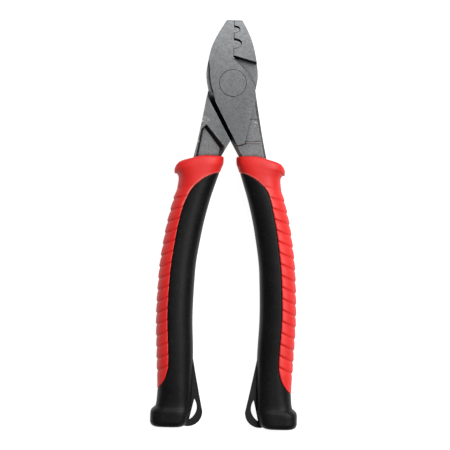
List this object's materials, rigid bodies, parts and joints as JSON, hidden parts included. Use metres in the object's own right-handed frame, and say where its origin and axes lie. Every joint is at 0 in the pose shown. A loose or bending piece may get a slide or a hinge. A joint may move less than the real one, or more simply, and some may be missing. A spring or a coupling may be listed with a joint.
{
  "type": "crimping pliers",
  "caption": "Slim crimping pliers with a riveted lap joint, oval sleeve-crimping nests in the jaws, and ribbed soft grips with finger guards and a lanyard loop at each heel.",
  "frame": {"origin": "on the pivot axis, at the flat rear face of the rivet", "axes": "+Y from the pivot towards the jaw tips, +Z from the rear face to the front face, +X to the right seen from the front; the tool lies flat with its jaws shut"},
  "size_m": [0.0649, 0.18, 0.017],
  "materials": {
    "forged_steel": "matt grey phosphate",
    "rivet_steel": "matt grey phosphate, ground flush",
    "black_sleeve": "moulded, fine matt",
    "black_grip": "smooth satin elastomer",
    "red_grip": "satin elastomer, ribbed"
  },
  "bodies": {
    "rear_half": {"rear_lever": "forged_steel", "left_grip_sleeve": "black_sleeve", "left_grip_pad": "black_grip", "left_grip_shell": "red_grip"},
    "front_half": {"front_lever": "forged_steel", "pivot_rivet": "rivet_steel", "right_grip_sleeve": "black_sleeve", "right_grip_pad": "black_grip", "right_grip_shell": "red_grip"}
  },
  "joints": [
    {"name": "jaw_pivot", "type": "hinge", "parent": "rear_half", "child": "front_half", "pos_m": [0, 0, 0.005], "axis": [0, 0, 1], "range_deg": [0, 45]}
  ]
}
